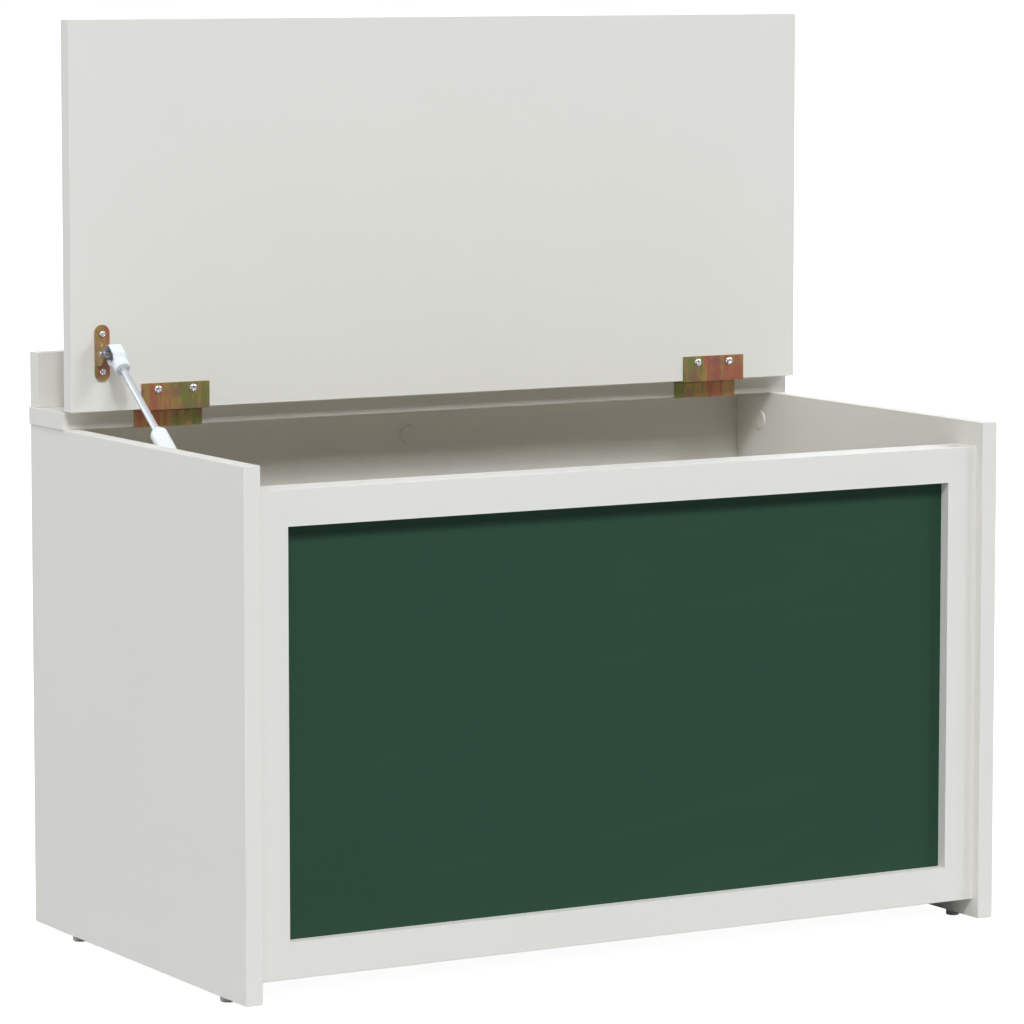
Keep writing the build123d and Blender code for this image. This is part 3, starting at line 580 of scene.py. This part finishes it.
def screw_rings(sizes, head_radius, seat, outward):
    """Rings of one pan-head screw, from the middle of its head to its tip.

    The head is a dome, height = h * (1 - (r/R)^2.6)^(1/2.2), less a cross recess. The recess is deepest in
    the middle and comes up along each arm, with walls where |x| or |y| passes half the arm's width. The
    shank's radius is its root plus a crest where height / pitch - angle / turn is near a whole number.
    """
    along, first, second = basis(outward)
    angle = np.linspace(0.0, 2.0 * math.pi, sizes.spokes, endpoint=False)
    round_about = np.ones_like(angle)
    spread = np.linspace(HEAD_MIDDLE, 1.0, HEAD_RINGS)[:, None]
    radius = head_radius * spread * round_about
    dome = (1.0 - spread ** DOME_FLATNESS).clip(0.0) ** DOME_ROUNDNESS
    height = sizes.head_height * dome * round_about
    x, y = radius * np.cos(angle + sizes.recess_turn), radius * np.sin(angle + sizes.recess_turn)
    off_arm = np.minimum(np.abs(x), np.abs(y)) - sizes.arm_width / 2
    wall = 1.0 / (1.0 + np.exp(off_arm / (sizes.arm_width * WALL_EASE)))
    slope = (1.0 - radius / sizes.arm_reach).clip(0.0)
    floor = np.minimum(1.0, slope * FLOOR_RISE) * (FLOOR_LEAST + (1.0 - FLOOR_LEAST) * slope)
    height = height - sizes.recess_depth * wall * floor
    under = np.linspace(head_radius, sizes.shank_radius, 3)[1:, None]
    shank = -np.linspace(0.0, sizes.shank_length * THREADED, SHANK_RINGS)[:, None]
    turn = shank / sizes.pitch - angle / (2.0 * math.pi)
    crest = (1.0 - 3.0 * np.abs(turn - np.round(turn))).clip(0.0) * sizes.thread_depth
    point = np.linspace(1.0, POINT_END, POINT_RINGS)[:, None]
    point_height = -sizes.shank_length * (THREADED + (1.0 - THREADED) * (1.0 - point))
    all_radius = np.concatenate([
        radius,
        under * round_about,
        sizes.shank_radius + crest,
        sizes.shank_radius * point * round_about,
    ])
    all_height = np.concatenate([
        height,
        0.0 * under * round_about,
        shank * round_about,
        point_height * round_about,
    ])
    spoke = np.cos(angle)[:, None] * first + np.sin(angle)[:, None] * second
    return np.array(seat) + all_height[..., None] * along + all_radius[..., None] * spoke[None]


def screw_seats(node, outward, head_height):
    """The head's radius of a CAD pair of screws, and the two points where the heads are seated.

    The heads are as wide as the node's box is across the pair. Their seats are a head's height in from the
    box's outer side, and the screws stand a head's radius in from its two ends.
    """
    low, high = (np.array(corner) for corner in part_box(node))
    out = np.array(outward, float)
    span = (high - low) * (1.0 - np.abs(out))
    run = int(np.argmax(span))
    across = int(3 - run - np.argmax(np.abs(out)))
    head_radius = span[across] / 2
    seat = np.where(out == 0, (low + high) / 2, np.where(out > 0, high, low)) - out * head_height
    offset = np.zeros(3)
    offset[run] = span[run] / 2 - head_radius
    return head_radius, (seat - offset, seat + offset)


class TOYBOX_OT_screws(bpy.types.Operator):
    """Make the pan-head screws that show, with a cross recess and a cut thread."""

    bl_idname = "toybox.screws"
    bl_label = "Screws"

    def execute(self, context):
        sizes = settings("screws")
        metals = settings("metals")
        material = plated("bright_zinc", tuple(metals.bright), low=0.16, high=0.30)
        groups = {
            "hinge_left_lid_screws": FRONT,
            "hinge_right_lid_screws": FRONT,
            "hinge_left_rail_screws": DOWN,
            "hinge_right_rail_screws": DOWN,
            "strut_lid_screws": FRONT,
            "strut_case_screws": RIGHT,
        }
        for node, outward in groups.items():
            head_radius, seats = screw_seats(node, outward, sizes.head_height)
            pair = []
            for i, seat in enumerate(seats):
                rings = screw_rings(sizes, head_radius, seat, outward)
                pair.append(skin(f"{node}_{i}", rings, material, BODY_OF[node]))
            piece = joined(pair, f"{node}_threaded")
            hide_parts(node)
        dress(["frame_screws", "backrest_screws"], material)
        return {"FINISHED"}


# ---------------------------------------------------------------- boards
class TOYBOX_OT_boards(bpy.types.Operator):
    """Face the boards in matt white."""

    bl_idname = "toybox.boards"
    bl_label = "White boards"

    def execute(self, context):
        boards = settings("boards")
        dress(in_slot("white_board"), melamine("white_facing", tuple(boards.white), boards))
        return {"FINISHED"}


class TOYBOX_OT_chalkboard(bpy.types.Operator):
    """Paint the chalkboard green."""

    bl_idname = "toybox.chalkboard"
    bl_label = "Chalkboard"

    def execute(self, context):
        dress(in_slot("chalkboard"), chalkboard_paint("chalkboard_green", settings("boards")))
        return {"FINISHED"}


# ---------------------------------------------------------------- hinges and hidden fittings
class TOYBOX_OT_hinges(bpy.types.Operator):
    """Plate the hinge leaves and the strut's brackets in yellow zinc."""

    bl_idname = "toybox.hinges"
    bl_label = "Hinges and brackets"

    def execute(self, context):
        metals = settings("metals")
        starts = {
            "hinge_left": metals.left_tint,
            "hinge_right": metals.right_tint,
            "strut": metals.bracket_tint,
        }
        for group, start in starts.items():
            pieces = [name for name in in_slot("yellow_zinc") if name.startswith(group)]
            dress(pieces, yellow_zinc(f"{group}_passivate", metals, start))
        return {"FINISHED"}


class TOYBOX_OT_joinery(bpy.types.Operator):
    """Finish the cams, bolts, nails and pins, the dowels, and the caps over the cams."""

    bl_idname = "toybox.joinery"
    bl_label = "Joinery"

    def execute(self, context):
        metals = settings("metals")
        plastics = settings("plastics")
        dress(in_slot("zinc"), plated("cast_zinc", tuple(metals.dull), low=0.38, high=0.6))
        dress(in_slot("beech"), beech("turned_beech"))
        dress(in_slot("cap_plastic"), moulded("cap_plastic", tuple(plastics.cap), roughness=0.45))
        return {"FINISHED"}


# ---------------------------------------------------------------- strut
COLLAR_START = 0.0016           # along the collar, over which it swells to its full radius
ROUNDING_START = 0.0008         # along it, over which the head's flat sides turn round
LIP = 0.0003                    # across the slope at the edge of the hollow
HEAD_GRID, STEP_GRID, COLLAR_GRID, SOCKET_SPOKES = 110, 12, 50, 240


def socket_rings(shape, ball, towards_middle, stud_side):
    """Rings of a ball socket, along the strut from beyond the ball to the end of its collar.

    Each ring is a squared circle, r = ((|cos|/a)^n + (|sin|/b)^n)^(-1/n). Its half sizes a and b and its
    exponent n ease from the flat-sided head, whose width is cut at 45 degrees at both ends, to the round
    collar. On the stud's side the points within the head's outline, less its wall, are pushed in.
    """
    along, _, _ = basis(towards_middle)
    across = np.array(stud_side, float)
    up = np.cross(along, across)
    head_end = shape.shoulder
    place = np.unique(np.concatenate([
        np.linspace(-shape.past_ball, head_end, HEAD_GRID),
        np.linspace(head_end, head_end + COLLAR_START, STEP_GRID),
        np.linspace(head_end + COLLAR_START, shape.reach, COLLAR_GRID),
    ]))
    from_nose, from_tail = place + shape.past_ball, head_end - place
    cut = np.minimum(from_nose, from_tail).clip(0.0, shape.chamfer)
    head_half = shape.head_width / 2 - shape.chamfer + cut
    ease = (1.0 + (place - head_end) / ROUNDING_START).clip(0.0, 1.0)
    ease = ease * ease * (3.0 - 2.0 * ease)
    step = ((place - head_end) / COLLAR_START).clip(0.0, 1.0)
    collar = shape.collar_radius - shape.collar_step * (1.0 - np.sin(step * math.pi / 2))
    end = ((shape.reach - place) / shape.collar_round).clip(0.0, 1.0)
    collar = collar - shape.collar_round * (1.0 - np.sqrt(1.0 - (1.0 - end) ** 2))
    nose = (from_nose / shape.edge).clip(0.0, 1.0)
    soft = shape.edge * (1.0 - np.sqrt(1.0 - (1.0 - nose) ** 2))
    half_x = (shape.head_thickness / 2 - soft) * (1.0 - ease) + collar * ease
    half_y = (head_half - soft) * (1.0 - ease) + collar * ease
    power = (shape.squareness * (1.0 - ease) + 2.0 * ease)[:, None]
    angle = np.linspace(0.0, 2.0 * math.pi, SOCKET_SPOKES, endpoint=False)
    cos, sin = np.cos(angle)[None], np.sin(angle)[None]
    flat_x, flat_y = np.abs(cos) / half_x[:, None], np.abs(sin) / half_y[:, None]
    reach = (flat_x ** power + flat_y ** power) ** (-1.0 / power)
    x, y = reach * cos, reach * sin
    inside = np.minimum.reduce([
        from_nose[:, None] * np.ones_like(y) - shape.wall,
        from_tail[:, None] * np.ones_like(y) - shape.wall,
        (head_half[:, None] - np.abs(y)) - shape.wall,
    ])
    hollow = (inside / LIP).clip(0.0, 1.0) * shape.mouth_depth
    x = np.where(x > 0, x - hollow, x)
    return np.array(ball) + place[:, None, None] * along + x[..., None] * across + y[..., None] * up


class TOYBOX_OT_strut(bpy.types.Operator):
    """Make the strut's moulded sockets, and finish its guide, rod, cylinder, studs and piston."""

    bl_idname = "toybox.strut"
    bl_label = "Gas strut"

    def execute(self, context):
        shape = settings("strut")
        metals = settings("metals")
        plastics = settings("plastics")
        white = moulded("socket_white", tuple(plastics.socket), roughness=0.34, soft=0.08)
        towards_lid = np.array(JOINTS["strut_slide"]["axis"], float)
        upper = np.array(JOINTS["strut_swivel"]["pos_m"], float)
        lower = middle("strut_lower_ball")
        lower[0] = upper[0]
        rings = socket_rings(shape, upper, -towards_lid, LEFT)
        skin("rod_socket_moulded", rings, white, "strut_rod", ["strut_rod_socket"])
        rings = socket_rings(shape, lower, towards_lid, LEFT)
        skin("cylinder_socket_moulded", rings, white, "strut_tube",
             ["strut_cylinder_socket"])
        dress(["strut_guide_cap"], white)
        dress(in_slot("satin_steel"), plated("stud_steel", tuple(metals.stud), low=0.24, high=0.40))
        steel = tuple(metals.steel)
        dress(["strut_rod"], plated("ground_steel", steel, low=0.45, high=0.60, scratches=900.0, mottle=0.05))
        dress(["strut_cylinder"], enamel("cylinder_enamel", tuple(plastics.enamel)))
        dress(["strut_piston"], moulded("piston_plastic", tuple(plastics.dark), roughness=0.5))
        return {"FINISHED"}


# ---------------------------------------------------------------- glides
GLIDE_EDGE = 0.22               # of the radius, rounding of the tread
GLIDE_HOLE = 0.45               # of the radius, the hole for the nail
HOLE_FLOOR = ((0.99, 0.45), (1.0, 0.44))    # of the hole's radius and the glide's height
MOUTH_EDGE = 0.6                # of the tread's rounding, at the hole's mouth
TOP_EDGE = 0.5                  # of it, at the top


class TOYBOX_OT_glides(bpy.types.Operator):
    """Turn the four glides, with a rounded tread."""

    bl_idname = "toybox.glides"
    bl_label = "Glides"

    def execute(self, context):
        plastics = settings("plastics")
        grey = moulded("glide_grey", tuple(plastics.glide), roughness=0.5)
        for node in [name for name in NODES if name.startswith("foot_") and name != "foot_nails"]:
            low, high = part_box(node)
            centre = middle(node)
            radius, height = (high.x - low.x) / 2, high.z - low.z
            edge, hole = radius * GLIDE_EDGE, radius * GLIDE_HOLE
            mouth, top = edge * MOUTH_EDGE, edge * TOP_EDGE
            profile = [(hole * across, height * up) for across, up in HOLE_FLOOR]
            profile += [(hole, mouth)]
            profile += arc((hole + mouth, mouth), mouth, 180, 270)
            profile += arc((radius - edge, edge), edge, 270, 360)
            profile += arc((radius - top, height - top), top, 0, 90)
            rings = turned(profile, (centre[0], centre[1], low.z), UP)
            skin(f"{node}_turned", rings, grey, "case", [node])
        return {"FINISHED"}


# ---------------------------------------------------------------- studio
SENSOR_WIDTH = 36.0             # millimetres
FARTHEST = 200.0                # metres that the camera sees
LAMPS = (
    # name, azimuth from the front towards the right, elevation, angle across, strength
    ("key", -22.5, 48.0, 10.0, 1.52),
    ("key_side", -46.0, 41.0, 14.0, 0.33),
    ("front", 0.0, 42.0, 14.0, 0.47),
    ("front_right", 46.0, 34.0, 14.0, 0.74),
    ("right", 65.0, 25.0, 16.0, 0.42),
    ("left", -82.0, 10.0, 20.0, 0.60),
    ("back_left", -135.0, 30.0, 20.0, 0.85),
    ("back_right", 135.0, 30.0, 20.0, 0.58),
    ("overhead", 0.0, 80.0, 24.0, 0.19),
)


def camera_only(tree, strength):
    """A strength that the camera sees and that gives no light."""
    path = tree.nodes.new("ShaderNodeLightPath")
    spread = tree.nodes.new("ShaderNodeMapRange")
    tree.links.new(path.outputs["Is Camera Ray"], spread.inputs["Value"])
    spread.inputs["To Min"].default_value = 0.0
    spread.inputs["To Max"].default_value = strength
    return spread.outputs["Result"]


class TOYBOX_OT_studio(bpy.types.Operator):
    """Lay the pale floor, paint the room, hang the soft lamps and set up the camera."""

    bl_idname = "toybox.studio"
    bl_label = "Studio"

    def execute(self, context):
        studio = settings("studio")
        scene = context.scene
        scene.view_settings.view_transform = "Standard"
        self.lay_floor(scene, studio)
        self.paint_room(scene, studio)
        self.hang_lamps(scene, studio)
        camera = bpy.data.cameras.new("camera")
        camera.sensor_width = SENSOR_WIDTH
        camera.lens = studio.focal_length
        camera.shift_y = studio.lens_rise
        camera.clip_end = FARTHEST
        viewer = bpy.data.objects.new("camera", camera)
        scene.collection.objects.link(viewer)
        viewer.location = studio.camera_place
        viewer.rotation_euler = (math.pi / 2 - studio.camera_tilt, 0.0, studio.camera_turn)
        scene.camera = viewer
        return {"FINISHED"}

    def lay_floor(self, scene, studio):
        """A wide pale floor that looks white to the camera without lighting the box."""
        half = studio.floor_size
        mesh = bpy.data.meshes.new("floor")
        corners = [(-half, -half, 0), (half, -half, 0), (half, half, 0), (-half, half, 0)]
        mesh.from_pydata(corners, [], [(0, 1, 2, 3)])
        floor = bpy.data.objects.new("floor", mesh)
        scene.collection.objects.link(floor)
        finish = Finish("floor_paper", tuple(studio.floor), roughness=0.9)
        finish.set("Specular IOR Level", 0.0)
        finish.set("Emission Color", (*PLAIN_WHITE, 1.0))
        finish.join(camera_only(finish.tree, studio.floor_glow), finish.shader.inputs["Emission Strength"])
        mesh.materials.append(finish.material)
        floor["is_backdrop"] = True

    def paint_room(self, scene, studio):
        """A white room that only shows, straight or in gloss, and is darker behind the camera."""
        world = bpy.data.worlds.new("room")
        world.use_nodes = True
        scene.world = world
        world.cycles_visibility.diffuse = False
        nodes, links = world.node_tree.nodes, world.node_tree.links
        place = nodes.new("ShaderNodeTexCoord")
        axes = nodes.new("ShaderNodeSeparateXYZ")
        fade = nodes.new("ShaderNodeMapRange")
        seen = nodes.new("ShaderNodeMath")
        path = nodes.new("ShaderNodeLightPath")
        links.new(place.outputs["Generated"], axes.inputs["Vector"])
        links.new(axes.outputs["Y"], fade.inputs["Value"])
        limits = {"From Min": -0.5, "From Max": 0.5, "To Min": studio.dark_walls, "To Max": 1.0}
        for socket, value in limits.items():
            fade.inputs[socket].default_value = value
        seen.operation = "MAXIMUM"
        links.new(fade.outputs["Result"], seen.inputs[0])
        links.new(path.outputs["Is Camera Ray"], seen.inputs[1])
        background = nodes["Background"]
        background.inputs["Color"].default_value = (*PLAIN_WHITE, 1.0)
        links.new(seen.outputs["Value"], background.inputs["Strength"])

    def hang_lamps(self, scene, studio):
        """One wide, far lamp for each row of the table, pointed at the middle of the box."""
        centre = sum(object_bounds(), Vector()) / 2
        for name, azimuth, elevation, across, strength in LAMPS:
            turn, rise = math.radians(azimuth), math.radians(elevation)
            out = Vector((math.sin(turn) * math.cos(rise), -math.cos(turn) * math.cos(rise), math.sin(rise)))
            light = bpy.data.lights.new(name, "SUN")
            light.angle = math.radians(across)
            light.energy = strength
            light.color = studio.lamp
            lamp = bpy.data.objects.new("lamp_" + name, light)
            lamp.location = centre + out * studio.lamp_distance
            lamp.rotation_euler = out.to_track_quat("Z", "Y").to_euler()
            scene.collection.objects.link(lamp)


# ---------------------------------------------------------------- panel and registration
OPERATORS = (
    TOYBOX_OT_boards,
    TOYBOX_OT_chalkboard,
    TOYBOX_OT_hinges,
    TOYBOX_OT_joinery,
    TOYBOX_OT_screws,
    TOYBOX_OT_strut,
    TOYBOX_OT_glides,
    TOYBOX_OT_studio,
)


class TOYBOX_PT_panel(bpy.types.Panel):
    """The toy box's steps, in order, with their settings."""

    bl_idname = "TOYBOX_PT_panel"
    bl_label = "Toy box"
    bl_space_type = "VIEW_3D"
    bl_region_type = "UI"
    bl_category = "Toy box"

    def draw(self, context):
        for operator in OPERATORS:
            self.layout.operator(operator.bl_idname)
        for group, kind in SETTINGS.items():
            box = self.layout.box()
            box.label(text=group.capitalize())
            for name in kind.__annotations__:
                box.prop(settings(group), name)


def register():
    """Registers the settings, the operators and the panel."""
    for kind in (*SETTINGS.values(), *OPERATORS, TOYBOX_PT_panel):
        bpy.utils.register_class(kind)
    for group, kind in SETTINGS.items():
        setattr(bpy.types.Scene, "toybox_" + group, PointerProperty(type=kind))


def unregister():
    """Takes them all away again."""
    for group in SETTINGS:
        delattr(bpy.types.Scene, "toybox_" + group)
    for kind in (TOYBOX_PT_panel, *reversed(OPERATORS), *SETTINGS.values()):
        bpy.utils.unregister_class(kind)


def main():
    """Builds everything in order."""
    register()
    for operator in OPERATORS:
        group, name = operator.bl_idname.split(".")
        getattr(getattr(bpy.ops, group), name)()


if __name__ == "__main__":
    main()
